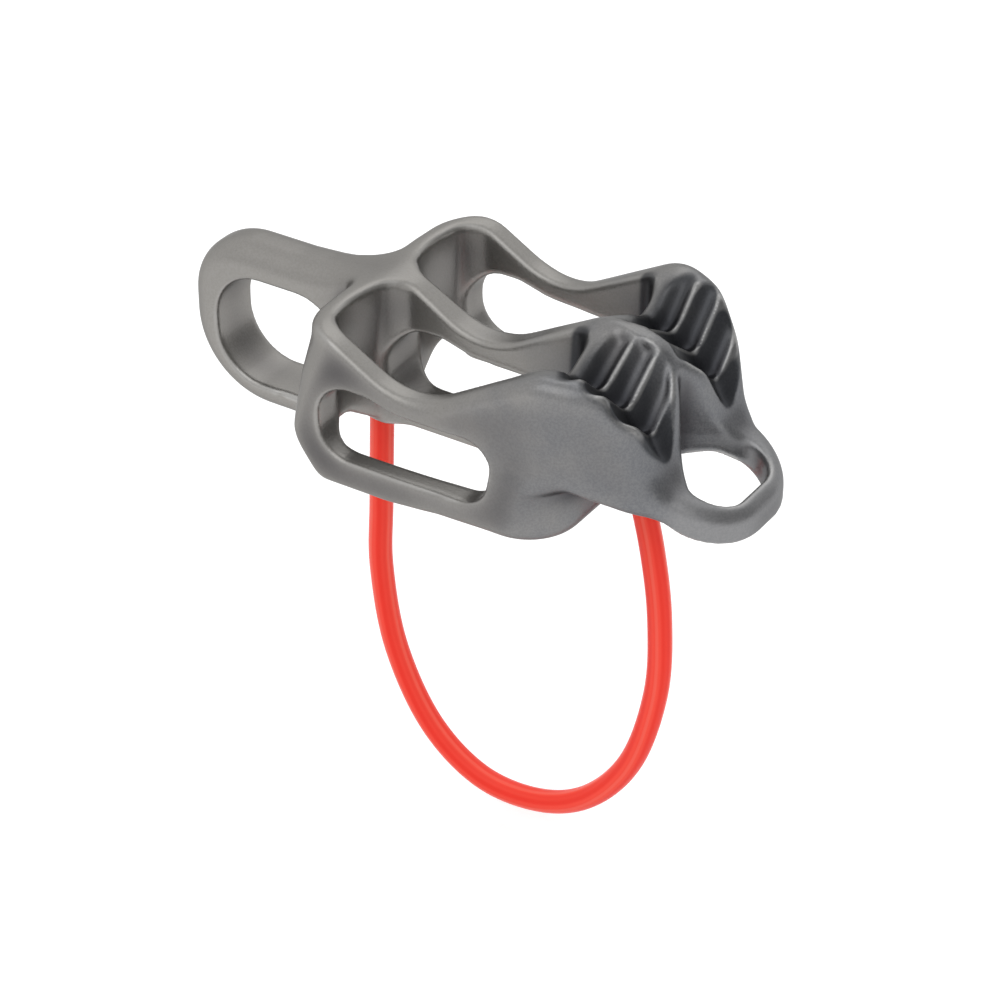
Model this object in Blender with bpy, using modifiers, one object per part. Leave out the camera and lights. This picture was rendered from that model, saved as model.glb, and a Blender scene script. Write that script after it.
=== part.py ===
"""Guide mode belay device: one forged body for two ropes, with a keeper loop of coated wire.

The origin is the centre of the guide eye. +X runs to the release ring, +Z is up, and the
body is the same on both sides of the plane y = 0.
"""

import math

import bmesh
import bpy
from mathutils import Matrix, Vector

mm = 0.001

# Guide eye, its ring and the arm to the end wall
eye_half_length = 9.2 * mm
eye_half_height = 7.2 * mm
eye_corner = 6.6 * mm
ring_wall = 4.2 * mm
ring_top_wall = 3.6 * mm
ring_bottom_wall = 3.5 * mm
ring_width = 7.6 * mm
ring_rounding = 1.45 * mm
arm_drop = 0.5 * mm  # arm's top below the arch, where they meet
flare_drop = 1.8 * mm
flare_length = 6.8 * mm
flare_width = 8.0 * mm  # of the end wall on each side of the plane y = 0

# Rope slots, side plates and web
end_wall = 7.2 * mm  # from the eye to the slots
slot_length = 26.8 * mm
slot_width = 12.25 * mm
slot_corner = 3.6 * mm
slot_narrowing = 1.4 * mm  # at the grooves
web_thickness = 4.9 * mm
web_top_thickness = 2.6 * mm
web_draft_height = 2.0 * mm
plate_thickness = 3.1 * mm
plate_waist = 0.9 * mm  # how much the plates have closed in at the hump
base_height = 6.8 * mm  # underside of the plates below the eye's centre
end_arch_web_height = -6.0 * mm  # lower edge of the end wall, beside the web
end_arch_middle_height = -2.4 * mm
end_arch_plate_height = -1.2 * mm

# Saddle-shaped top edge, as the corners of a polygon that arcs then round
arch_height = 13.2 * mm
valley_height = 6.1 * mm
valley_reach = 11.1 * mm  # from the start of the slots
valley_radius = 10.5 * mm
hump_height = 15.7 * mm
hump_reach = 2.0 * mm  # past the end of the slots
hump_length = 6.0 * mm
hump_radius = 6.5 * mm
shoulder_height = 10.2 * mm  # where the top edge turns down to the nose
shoulder_radius = 9.0 * mm

# Windows through the plates and the web
window_length = 24.0 * mm
window_overlap = 0.8 * mm  # how far they cut into the end wall
window_top = 5.3 * mm
window_bottom = 3.1 * mm
window_bulge = 1.1 * mm
window_bulge_length = 6.5 * mm
window_radius = 3.6 * mm

# Ribbed V grooves
foot_thickness = 4.3 * mm  # lower wall past the slots
foot_length = 12.0 * mm  # back along the plates from the end of the slots
foot_top = 3.2 * mm
foot_corner = 7.0 * mm
foot_rounding = 2.4 * mm
groove_length = 14.2 * mm
groove_height = 10.9 * mm
groove_fall = 0.87  # drop for each step along X, past the bend
groove_bend = 5.6 * mm  # past the end of the slots
groove_bend_radius = 10.0 * mm
groove_turn = 0.13  # how far the grooves close in for each step along X
web_flank = 0.65  # rise for each step across
plate_flank = 0.95
rib_pitch = 3.05 * mm
rib_depth = 0.55 * mm
first_rib = 2.2 * mm  # past the end of the slots

# Release ring at the nose
nose_reach = 8.2 * mm
nose_half_width = 10.3 * mm
nose_corner = 8.0 * mm
nose_hole_half_width = 6.3 * mm
nose_wall = 2.3 * mm
nose_thickness = 4.0 * mm
nose_rounding = 1.5 * mm
nose_top = 1.5 * mm
nose_droop = 0.38  # drop for each step along X
nose_hole_start = 8.4 * mm  # the web's fork, past the end of the slots
nose_hole_lean = 0.12  # step along X for each step up

# Keeper loop
sleeve_diameter = 3.0 * mm
sleeve_wall = 0.5 * mm
core_clearance = 0.3 * mm
wire_end_length = 3.4 * mm
wire_end_diameter = 3.0 * mm
wire_end_rim = 0.25 * mm
wire_end_clearance = 0.3 * mm
sleeve_past_axis = 1.1 * mm
core_past_axis = 1.8 * mm
swing_clearance = 0.4 * mm
axis_below_body = 1.0 * mm
rear_exit = 3.8 * mm  # before the start of the slots
front_exit = 5.2 * mm  # past the end of the slots
front_exit_height = -4.2 * mm
boss_half_width = 3.4 * mm  # under the web's fork, round the front exit
boss_height = 7.0 * mm
boss_start = 1.0 * mm  # past the end of the slots
boss_wall = 2.3 * mm

# Places (x, z) that the loop passes through below the body, from rear to front
loop_route = [
    (12.2 * mm, -20.7 * mm),
    (12.0 * mm, -30.5 * mm),
    (14.0 * mm, -42.0 * mm),
    (19.2 * mm, -52.0 * mm),
    (26.8 * mm, -57.4 * mm),
    (35.6 * mm, -57.5 * mm),
    (43.0 * mm, -53.6 * mm),
    (48.8 * mm, -45.6 * mm),
    (51.9 * mm, -34.2 * mm),
    (52.1 * mm, -23.6 * mm),
    (50.8 * mm, -14.0 * mm),
]
loop_step = 6.5 * mm
loop_start = 4.0 * mm  # straight up from the rear exit

# Fineness of curves and of the forged surface
arc_step = math.radians(12)
curve_samples = 12
groove_samples = 84
voxel = 0.42 * mm
relax_rounds = 12
kept_share = 0.092

# How far helpers overlap, run past, or stand outside the body
overlap = 0.4 * mm
step_apart = 0.05 * mm  # keeps undersides at one height from lying in one plane
overrun = 4.0 * mm
far = 30.0 * mm

half_web = web_thickness / 2
half_width = half_web + slot_width + plate_thickness
slot_start = eye_half_length + end_wall
slot_end = slot_start + slot_length
valley_place = slot_start + valley_reach
block_end = slot_end + groove_length
nose_tip = block_end + nose_reach
ring_end = eye_half_length + ring_wall
sleeve_radius = sleeve_diameter / 2
core_radius = sleeve_radius - sleeve_wall - core_clearance
rear_axis = Vector((slot_start - rear_exit, 0, -base_height - axis_below_body))
front_axis = Vector((slot_end + front_exit, 0, front_exit_height))


def arc_corners(corners):
    """A polygon's points, with each corner (x, y, radius) rounded by an arc."""
    points = []
    count = len(corners)
    places = [Vector(corner[:2]) for corner in corners]
    turns = []
    for i, here in enumerate(places):
        before = places[i - 1] - here
        after = places[(i + 1) % count] - here
        turns.append(math.pi - before.angle(after))
    reaches = [corner[2] * math.tan(turn / 2) for corner, turn in zip(corners, turns)]
    for i, (here, turn) in enumerate(zip(places, turns)):
        before = places[i - 1] - here
        after = places[(i + 1) % count] - here
        if reaches[i] <= 0:
            points.append(here)
            continue
        # Two corners share the edge between them, and a sliver of it stays straight.
        room = 0.999 * min(
            before.length / (reaches[i] + reaches[i - 1]),
            after.length / (reaches[i] + reaches[(i + 1) % count]),
        )
        reach = reaches[i] * min(1.0, room)
        radius = reach / math.tan(turn / 2)
        inward = (before.normalized() + after.normalized()).normalized()
        centre = here + inward * (radius / math.cos(turn / 2))
        start = here + before.normalized() * reach - centre
        side = 1 if before.cross(after) < 0 else -1
        steps = max(1, round(turn / arc_step))
        for step in range(steps + 1):
            angle = side * turn * step / steps
            points.append(centre + Matrix.Rotation(angle, 2) @ start)
    return points


def both_sides(corners):
    """A plan outline from its +Y half, given from small x to large."""
    return corners + [(x, -y, radius) for x, y, radius in reversed(corners)]


def collection_for(name):
    found = bpy.data.collections.new(name)
    bpy.context.scene.collection.children.link(found)
    return found


def mesh_object(name, mesh, home):
    made = bpy.data.objects.new(name, mesh)
    home.objects.link(made)
    if home.name == "cutters":
        made.hide_render = True
        made.display_type = "WIRE"
    return made


def mesh_of_curve(curve, home):
    """The closed mesh that a curve object makes, in world space. The curve is removed."""
    home.objects.link(curve)
    bpy.context.view_layer.update()
    graph = bpy.context.evaluated_depsgraph_get()
    mesh = bpy.data.meshes.new_from_object(curve.evaluated_get(graph))
    mesh.transform(curve.matrix_world)
    bpy.data.objects.remove(curve)
    shape = bmesh.new()
    shape.from_mesh(mesh)
    bmesh.ops.remove_doubles(shape, verts=shape.verts, dist=0.001 * mm)
    bmesh.ops.recalc_face_normals(shape, faces=shape.faces)
    shape.to_mesh(mesh)
    shape.free()
    return mesh


def prism(name, outlines, facing, low, high, home, edge=0.0):
    """Outlines filled and drawn out from low to high.

    facing "side" takes (x, z) outlines along -Y, "plan" takes (x, y) along Z and "front"
    takes (y, z) along X. edge rounds the rims.
    """
    shape = bpy.data.curves.new(name, "CURVE")
    shape.dimensions = "2D"
    shape.fill_mode = "BOTH"
    shape.extrude = (high - low) / 2 - edge
    shape.bevel_depth = edge
    shape.bevel_resolution = 2
    shape.offset = -edge
    for outline in outlines:
        points = arc_corners(outline)
        turns = sum(a.cross(b) for a, b in zip(points, points[1:] + points[:1]))
        if (turns > 0) != (outline is outlines[0]):
            points.reverse()
        spline = shape.splines.new("POLY")
        spline.points.add(len(points) - 1)
        for point, place in zip(spline.points, points):
            point.co = (place.x, place.y, 0, 1)
        spline.use_cyclic_u = True
    curve = bpy.data.objects.new(name, shape)
    middle = (low + high) / 2
    if facing == "side":
        curve.rotation_euler = (math.pi / 2, 0, 0)
        curve.location = (0, middle, 0)
    elif facing == "front":
        curve.rotation_euler = (math.pi / 2, 0, math.pi / 2)
        curve.location = (middle, 0, 0)
    else:
        curve.location = (0, 0, middle)
    return mesh_object(name, mesh_of_curve(curve, home), home)


def slanted(solid, moved, along, rate, origin):
    """Shears a solid: coordinate moved changes by rate for each step of along from origin."""
    for vertex in solid.data.vertices:
        vertex.co[moved] += rate * (vertex.co[along] - origin)
    return solid


def mirrored(solid, home):
    """The same solid on the other side of the plane y = 0."""
    twin = mesh_object(solid.name.replace("near", "far"), solid.data.copy(), home)
    twin.data.transform(Matrix.Scale(-1, 4, (0, 1, 0)))
    twin.data.flip_normals()
    return twin


def boolean(solid, other, operation):
    step = solid.modifiers.new(f"{operation.lower()} {other.name}", "BOOLEAN")
    step.operation = operation
    step.solver = "EXACT"
    step.object = other


def material(name, colour, roughness, metallic):
    made = bpy.data.materials.new(name)
    made.use_nodes = True
    shader = made.node_tree.nodes["Principled BSDF"]
    shader.inputs["Base Color"].default_value = (*colour, 1)
    shader.inputs["Roughness"].default_value = roughness
    shader.inputs["Metallic"].default_value = metallic
    return made


def block(home):
    """Plates, web, end wall and groove block in one, before the slots are cut."""
    top = [
        (slot_start - 2.0 * mm, arch_height, 2.0 * mm),
        (slot_start + 1.2 * mm, arch_height - 0.1 * mm, 5.0 * mm),
        (valley_place, valley_height, valley_radius),
        (slot_end + hump_reach, hump_height, hump_radius),
        (slot_end + hump_reach + hump_length, hump_height - 1.0 * mm, 4.5 * mm),
        (block_end - 2.4 * mm, shoulder_height, shoulder_radius),
    ]
    underside = [
        (block_end + 0.4 * mm, -1.0 * mm, 0.5 * mm),
        (block_end - 3.0 * mm, -1.6 * mm, 5.0 * mm),
        (slot_end + 2.0 * mm, 2.4 * mm, 4.0 * mm),
        (slot_end - 3.0 * mm, -base_height, 6.0 * mm),
        (slot_start - 1.6 * mm, -base_height, 2.2 * mm),
        (slot_start - 4.8 * mm, end_arch_middle_height, 3.0 * mm),
    ]
    wide = half_width + overrun
    return prism("forged_body", [top + underside], "side", -wide, wide, home)


def block_plan(home):
    """The same block from above: straight sides that close in toward the nose."""
    corners = [
        (slot_start - 6.0 * mm, half_width, 2.0 * mm),
        (valley_place, half_width, 60.0 * mm),
        (slot_end + 4.0 * mm, half_width - plate_waist, 14.0 * mm),
        (block_end + 0.5 * mm, nose_half_width + 0.3 * mm, 1.0 * mm),
    ]
    return prism("block_plan", [both_sides(corners)], "plan", -far, far, home)


def front_foot(home):
    """The lower end of the slots: a wall with round corners, below the nose's arms."""
    half = half_width - 0.1 * mm
    corners = [
        (slot_end - foot_length, half, 1.1 * foot_rounding),
        (slot_end + foot_thickness, half, foot_corner),
    ]
    plan = [both_sides(corners)]
    low = -base_height - step_apart
    return prism("front_foot", plan, "plan", low, foot_top, home, foot_rounding)


def front_boss(home):
    """The thickening under the web's fork that takes the loop's front end."""
    end = front_axis.x + sleeve_radius + boss_wall
    corners = [
        (slot_end + boss_start, boss_half_width, 2.0 * mm),
        (end, boss_half_width, 2.4 * mm),
    ]
    low = front_exit_height + axis_below_body
    high = low + boss_height
    return prism("front_boss", [both_sides(corners)], "plan", low, high, home, 0.8 * mm)


def guide_ring(home):
    """The flat ring round the guide eye, running on into the end wall."""
    end = slot_start - overlap / 2
    top = eye_half_height + ring_top_wall
    bottom = -eye_half_height - ring_bottom_wall
    outer = [
        (end, arch_height - arm_drop, 3.0 * mm),
        (4.0 * mm, top, 30.0 * mm),
        (-ring_end, top, 10.6 * mm),
        (-ring_end, bottom, 11.0 * mm),
        (5.0 * mm, bottom, 9.0 * mm),
        (eye_half_length + 2.0 * mm, -base_height + step_apart, 6.0 * mm),
        (end, -base_height + step_apart, 3.0 * mm),
    ]
    eye = [
        (eye_half_length, eye_half_height, eye_corner),
        (-eye_half_length, eye_half_height, eye_corner),
        (-eye_half_length, -eye_half_height, eye_corner),
        (eye_half_length, -eye_half_height, eye_corner),
    ]
    half = ring_width / 2
    return prism("guide_ring", [outer, eye], "side", -half, half, home, ring_rounding)


def arm_flare(home):
    """Where the ring's arm widens into the end wall, with a hollow fillet on each side."""
    end = slot_start - overlap / 2
    root = eye_half_length + end_wall / 2 + overlap
    corners = [
        (end - flare_length, ring_width / 2 - 0.6 * mm, 3.0 * mm),
        (root, ring_width / 2 + 1.2 * mm, 3.5 * mm),
        (root + 0.6 * mm, flare_width, 0),
        (end, flare_width, 0),
    ]
    plan = [both_sides(corners)]
    low = -base_height + 2 * step_apart
    high = arch_height - flare_drop
    return prism("arm_flare", plan, "plan", low, high, home, 1.2 * mm)


def nose_ring(home):
    """The release ring: a bail lower than the plates that droops toward its tip."""
    corners = [
        (slot_end + 6.0 * mm, nose_half_width + 1.4 * mm, 4.0 * mm),
        (block_end - 1.0 * mm, nose_half_width, 12.0 * mm),
        (nose_tip, nose_half_width, nose_corner),
    ]
    plan = [both_sides(corners)]
    low = nose_top - nose_thickness
    ring = prism("nose_ring", plan, "plan", low, nose_top, home, nose_rounding)
    return slanted(ring, 2, 0, -nose_droop, block_end)


def slot_cutter(home):
    """One rope slot right through, in two pieces: above the windows the web has a draft."""
    inner = half_web
    outer = half_web + slot_width
    corners = [
        (slot_start, inner, slot_corner),
        (slot_end, inner, slot_corner),
        (slot_end, outer - slot_narrowing, slot_corner),
        (valley_place, outer, 30.0 * mm),
        (slot_start, outer, slot_corner),
    ]
    cutter = prism("near_slot", [corners], "plan", web_draft_height, far, home)
    draft = (web_thickness - web_top_thickness) / 2 / (hump_height - web_draft_height)
    top = web_draft_height + overlap
    for vertex in cutter.data.vertices:
        if vertex.co.z > top and vertex.co.y < inner + slot_width / 2:
            vertex.co.y -= draft * (vertex.co.z - web_draft_height)
    lower = prism("near_slot_lower", [corners], "plan", -far, top, home)
    boolean(cutter, lower, "UNION")
    return cutter, lower


def window_cutter(home):
    """The long window, cut through both plates and the web at once."""
    start = slot_start - window_overlap
    end = start + window_length
    top = window_top + window_bulge
    corners = [
        (start, top, window_radius),
        (start + window_bulge_length, top, 4.0 * mm),
        (start + window_bulge_length + 4.5 * mm, window_top, 8.0 * mm),
        (end + 0.6 * mm, window_top - 0.3 * mm, window_radius),
        (end - 1.2 * mm, -window_bottom, window_radius),
        (start, -window_bottom, window_radius),
    ]
    return prism("windows", [corners], "side", -far, far, home)


def groove_line():
    """The bottom of a V groove from the side, with its ribs, from the slot past the end."""
    bend_x = slot_end + groove_bend
    reach = groove_bend_radius * math.tan(math.atan(groove_fall) / 2)
    start = slot_end - overrun
    end = block_end + overrun
    points = []
    for sample in range(groove_samples + 1):
        x = start + (end - start) * sample / groove_samples
        past = x - bend_x
        if past <= -reach:
            height = groove_height
        elif past >= reach:
            height = groove_height - groove_fall * past
        else:
            height = groove_height - groove_fall * (past + reach) ** 2 / (4 * reach)
        phase = (x - slot_end - first_rib) / rib_pitch
        valley = math.sin(math.pi * (phase % 1.0))
        ribs = rib_depth * (1 - 2 * valley) if phase > 0 else rib_depth
        points.append((x, height + ribs, 0))
    return points + [(end, far, 0), (start, far, 0)]


def groove_cutter(home):
    """One V groove: what lies above both of its flanks."""
    middle = half_web + slot_width / 2
    low = -overrun
    high = half_width + overrun
    over_web = prism("near_groove", [groove_line()], "side", low, high, home)
    slanted(over_web, 2, 1, -web_flank, middle)
    slanted(over_web, 2, 0, -web_flank * groove_turn, slot_end)
    over_plate = prism("near_groove_plate", [groove_line()], "side", low, high, home)
    slanted(over_plate, 2, 1, plate_flank, middle)
    slanted(over_plate, 2, 0, plate_flank * groove_turn, slot_end)
    boolean(over_web, over_plate, "INTERSECT")
    return over_web, over_plate


def nose_hole(home):
    """The release hole: pointed where the web forks, round at the tip."""
    wide = nose_hole_half_width
    tip = nose_tip - nose_wall
    corners = [
        (slot_end + nose_hole_start, 0, 1.0 * mm),
        (block_end + 2.2 * mm, wide + 0.2 * mm, 4.0 * mm),
        (tip, wide - 0.4 * mm, 5.4 * mm),
        (tip, -wide + 0.4 * mm, 5.4 * mm),
        (block_end + 2.2 * mm, -wide - 0.2 * mm, 4.0 * mm),
    ]
    hole = prism("nose_hole", [corners], "plan", -far, far, home)
    return slanted(hole, 0, 2, nose_hole_lean, 0)


def arch_cutter(home):
    """The space under the end wall between the web and one plate."""
    inner = half_web + 0.6 * mm
    outer = half_width - plate_thickness
    corners = [
        (inner, -far, 0),
        (inner, end_arch_web_height, 1.0 * mm),
        ((inner + outer) / 2, end_arch_middle_height, 5.0 * mm),
        (outer, end_arch_plate_height, 1.5 * mm),
        (outer, -far, 0),
    ]
    return prism("near_arch", [corners], "front", 0, slot_start + overrun, home)


def forged_body(parts, cutters):
    body = block(parts)
    for solid, operation in (
        (block_plan(cutters), "INTERSECT"),
        (front_foot(cutters), "UNION"),
        (front_boss(cutters), "UNION"),
        (guide_ring(cutters), "UNION"),
        (arm_flare(cutters), "UNION"),
        (nose_ring(cutters), "UNION"),
        (window_cutter(cutters), "DIFFERENCE"),
        (nose_hole(cutters), "DIFFERENCE"),
    ):
        boolean(body, solid, operation)
    near_arch = arch_cutter(cutters)
    boolean(body, near_arch, "DIFFERENCE")
    boolean(body, mirrored(near_arch, cutters), "DIFFERENCE")
    for make, operation in ((slot_cutter, "UNION"), (groove_cutter, "INTERSECT")):
        near, helper = make(cutters)
        boolean(body, near, "DIFFERENCE")
        twin = mirrored(near, cutters)
        boolean(twin, mirrored(helper, cutters), operation)
        boolean(body, twin, "DIFFERENCE")
    forge(body)
    body.data.shade_smooth()
    body.data.materials.append(material("anodised_grey", (0.2, 0.2, 0.2), 0.4, 1.0))
    return body


def forge(body):
    """Rounds every edge as a forging's are: an even mesh, relaxed, then thinned out."""
    even = body.modifiers.new("even mesh", "REMESH")
    even.mode = "VOXEL"
    even.voxel_size = voxel
    relax = body.modifiers.new("relax", "SMOOTH")
    relax.factor = 0.5
    relax.iterations = relax_rounds
    thin = body.modifiers.new("thin out", "DECIMATE")
    thin.ratio = kept_share


def loop_curve():
    """A smooth curve through the route, as close points from the rear exit to the front."""
    knots = [rear_axis] + [Vector((x, 0, z)) for x, z in loop_route] + [front_axis]
    first = knots[0] + Vector((0, 0, loop_start))
    last = 2 * knots[-1] - knots[-2]
    knots = [first] + knots + [last]
    points = []
    for a, b, c, d in zip(knots, knots[1:], knots[2:], knots[3:]):
        for i in range(curve_samples):
            t = i / curve_samples
            steady = 2 * b + (c - a) * t
            bend = (2 * a - 5 * b + 4 * c - d) * t * t
            twist = (3 * b - a - 3 * c + d) * t**3
            points.append((steady + bend + twist) / 2)
    return points + [front_axis.copy()]


def spaced(points, step):
    """The same line with points an even step apart."""
    lengths = [0.0]
    for a, b in zip(points, points[1:]):
        lengths.append(lengths[-1] + (b - a).length)
    count = round(lengths[-1] / step)
    even = []
    at = 0
    for i in range(count + 1):
        goal = lengths[-1] * i / count
        while at < len(points) - 2 and lengths[at + 1] < goal:
            at += 1
        share = (goal - lengths[at]) / (lengths[at + 1] - lengths[at])
        even.append(points[at].lerp(points[at + 1], share))
    return even


def way_in(points, end):
    """The direction in which the loop enters the body at its rear (0) or front (-1)."""
    inner, outer = (points[0], points[1]) if end == 0 else (points[-1], points[-2])
    return (inner - outer).normalized()


def loop_tube(name, radius, past, home):
    """A tube along the loop, run on straight past the swing axis at both ends."""
    points = spaced(loop_curve(), loop_step)
    rear = points[0] + way_in(points, 0) * past
    front = points[-1] + way_in(points, -1) * past
    shape = bpy.data.curves.new(name, "CURVE")
    shape.dimensions = "3D"
    shape.bevel_depth = radius
    shape.bevel_resolution = 2
    shape.use_fill_caps = True
    spline = shape.splines.new("POLY")
    spline.points.add(len(points) - 1)
    for point, place in zip(spline.points, [rear] + points[1:-1] + [front]):
        point.co = (*place, 1)
    curve = bpy.data.objects.new(name, shape)
    return mesh_object(name, mesh_of_curve(curve, home), home)


def rod(name, centre, direction, radius, length, home):
    """A cylinder about its centre."""
    shape = bmesh.new()
    bmesh.ops.create_cone(
        shape, cap_ends=True, segments=24, radius1=radius, radius2=radius, depth=length
    )
    turn = Vector((0, 0, 1)).rotation_difference(direction).to_matrix().to_4x4()
    bmesh.ops.transform(shape, matrix=Matrix.Translation(centre) @ turn, verts=shape.verts)
    mesh = bpy.data.meshes.new(name)
    shape.to_mesh(mesh)
    shape.free()
    return mesh_object(name, mesh, home)


def wire_end(name, centre, direction, home):
    """The swaged end of the wire, which stays fixed in its bore."""
    end = rod(name, centre, direction, wire_end_diameter / 2, wire_end_length, home)
    end.data.materials.append(material(f"{name}_steel", (0.55, 0.55, 0.56), 0.35, 1.0))
    end.data.shade_smooth()
    end.data.set_sharp_from_angle(angle=math.radians(40))
    rim = end.modifiers.new("rim", "BEVEL")
    rim.width = wire_end_rim
    rim.segments = 2
    rim.limit_method = "ANGLE"


def exits(parts, cutters, body):
    """At each end of the loop a swing pocket, and above it a bore with the wire's end."""
    along = (front_axis - rear_axis).normalized()
    points = spaced(loop_curve(), loop_step)
    swing = math.hypot(sleeve_past_axis, sleeve_radius) + swing_clearance
    width = sleeve_diameter + 2 * swing_clearance
    depth = swing + wire_end_length + wire_end_clearance
    bore_radius = wire_end_diameter / 2 + wire_end_clearance
    for name, place, end in (("rear", rear_axis, 0), ("front", front_axis, -1)):
        inward = way_in(points, end)
        pocket = rod(f"{name}_pocket", place, along, swing, width, cutters)
        boolean(body, pocket, "DIFFERENCE")
        bore = rod(f"{name}_bore", place + inward * depth / 2, inward, bore_radius, depth, cutters)
        boolean(body, bore, "DIFFERENCE")
        middle = place + inward * (swing + wire_end_length / 2)
        wire_end(f"{name}_wire_end", middle, inward, parts)


def keeper(parts, cutters):
    """The coated wire loop, carried by an empty on the line through its two ends."""
    sleeve = loop_tube("keeper_sleeve", sleeve_radius, sleeve_past_axis, parts)
    bore_radius = sleeve_radius - sleeve_wall
    bore = loop_tube("sleeve_bore", bore_radius, sleeve_past_axis + overrun, cutters)
    boolean(sleeve, bore, "DIFFERENCE")
    core = loop_tube("keeper_core", core_radius, core_past_axis, parts)
    sleeve.data.materials.append(material("red_coat", (0.86, 0.05, 0.03), 0.25, 0.0))
    core.data.materials.append(material("wire_steel", (0.6, 0.6, 0.62), 0.35, 1.0))
    hinge = bpy.data.objects.new("keeper_hinge", None)
    parts.objects.link(hinge)
    hinge.location = (rear_axis + front_axis) / 2
    hinge.rotation_euler = (front_axis - rear_axis).to_track_quat("X", "Z").to_euler()
    bpy.context.view_layer.update()
    for piece in (sleeve, core, bore):
        piece.data.shade_smooth()
        piece.data.transform(hinge.matrix_world.inverted())
        piece.parent = hinge


def main():
    for found in list(bpy.data.objects):
        bpy.data.objects.remove(found)
    parts = collection_for("belay_device")
    cutters = collection_for("cutters")
    body = forged_body(parts, cutters)
    exits(parts, cutters, body)
    keeper(parts, cutters)


main()
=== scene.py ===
# A guide mode belay device: a forged alloy body with a keeper loop of coated wire.
# x runs from the guide eye to the release ring, y across the two rope slots, z up.

import math

import bpy
import numpy as np
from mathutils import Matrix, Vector


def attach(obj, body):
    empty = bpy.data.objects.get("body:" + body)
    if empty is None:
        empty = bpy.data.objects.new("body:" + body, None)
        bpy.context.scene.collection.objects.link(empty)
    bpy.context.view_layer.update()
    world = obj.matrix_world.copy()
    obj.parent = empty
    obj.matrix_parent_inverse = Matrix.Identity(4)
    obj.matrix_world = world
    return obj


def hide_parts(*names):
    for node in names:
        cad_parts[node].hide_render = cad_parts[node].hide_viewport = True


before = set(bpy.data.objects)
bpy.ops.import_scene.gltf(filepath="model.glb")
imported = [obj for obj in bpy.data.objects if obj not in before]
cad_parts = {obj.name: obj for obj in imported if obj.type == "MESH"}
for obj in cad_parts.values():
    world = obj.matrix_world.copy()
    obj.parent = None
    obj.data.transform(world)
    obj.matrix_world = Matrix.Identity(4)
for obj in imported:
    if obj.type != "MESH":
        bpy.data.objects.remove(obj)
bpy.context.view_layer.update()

mm = 0.001
print("frame loaded")


# Camera

camera = {
    "azimuth": 32.9,  # degrees round from the front, towards the release ring
    "elevation": 33.0,
    "distance": 400 * mm,
    "target": (29.602 * mm, 0.0, -14.503 * mm),
    "lens": 120.1,
    "clip": (0.01, 20.0),
}


def aimed(name, data, place, target):
    # A camera or a lamp at a place, turned so that it looks at a target
    made = bpy.data.objects.new(name, data)
    made.location = place
    made.rotation_mode = "QUATERNION"
    made.rotation_quaternion = (Vector(target) - Vector(place)).to_track_quat("-Z", "Y")
    bpy.context.scene.collection.objects.link(made)
    return made


def placeCamera():
    # The camera looks at its target from a distance along a direction given by two angles.
    turn = math.radians(camera["azimuth"])
    rise = math.radians(camera["elevation"])
    back = Vector((math.sin(turn) * math.cos(rise), -math.cos(turn) * math.cos(rise), math.sin(rise)))
    lens = bpy.data.cameras.new("camera")
    lens.lens = camera["lens"]
    lens.clip_start, lens.clip_end = camera["clip"]
    place = Vector(camera["target"]) + back * camera["distance"]
    bpy.context.scene.camera = aimed("camera", lens, place, camera["target"])


# Meshes from arrays


def meshFromArrays(name, points, quads, attributes=()):
    # points is n by 3 in metres, quads is m by 4; attributes are (name, one value a point).
    mesh = bpy.data.meshes.new(name)
    mesh.vertices.add(len(points))
    mesh.vertices.foreach_set("co", np.asarray(points, np.float32).ravel())
    mesh.loops.add(quads.size)
    mesh.loops.foreach_set("vertex_index", quads.astype(np.int32).ravel())
    mesh.polygons.add(len(quads))
    mesh.polygons.foreach_set("loop_start", np.arange(0, quads.size, 4, dtype=np.int32))
    mesh.update(calc_edges=True)
    mesh.shade_smooth()
    for label, values in attributes:
        layer = mesh.attributes.new(label, "FLOAT", "POINT")
        layer.data.foreach_set("value", np.asarray(values, np.float32))
    made = bpy.data.objects.new(name, mesh)
    bpy.context.scene.collection.objects.link(made)
    return made


# Shader maths


class Signal:
    # One output socket. Arithmetic on it adds Math nodes and gives a new Signal.
    def __init__(self, finish, socket):
        self.finish = finish
        self.socket = socket

    def maths(self, operation, *others):
        inputs = dict(enumerate([self, *others]))
        return self.finish.node("ShaderNodeMath", {"operation": operation}, inputs)["Value"]

    def __add__(self, other):
        return self.maths("ADD", other)

    def __mul__(self, other):
        return self.maths("MULTIPLY", other)

    def __sub__(self, other):
        return self.maths("SUBTRACT", other)

    def __rsub__(self, other):
        return (self * -1.0) + other

    def between(self, low, high):
        # 0 at low, 1 at high, smooth between, and held outside them
        settings = {"interpolation_type": "SMOOTHSTEP"}
        inputs = {"Value": self, "From Min": low, "From Max": high}
        return self.finish.node("ShaderNodeMapRange", settings, inputs)["Result"]

    __radd__ = __add__
    __rmul__ = __mul__


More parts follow.
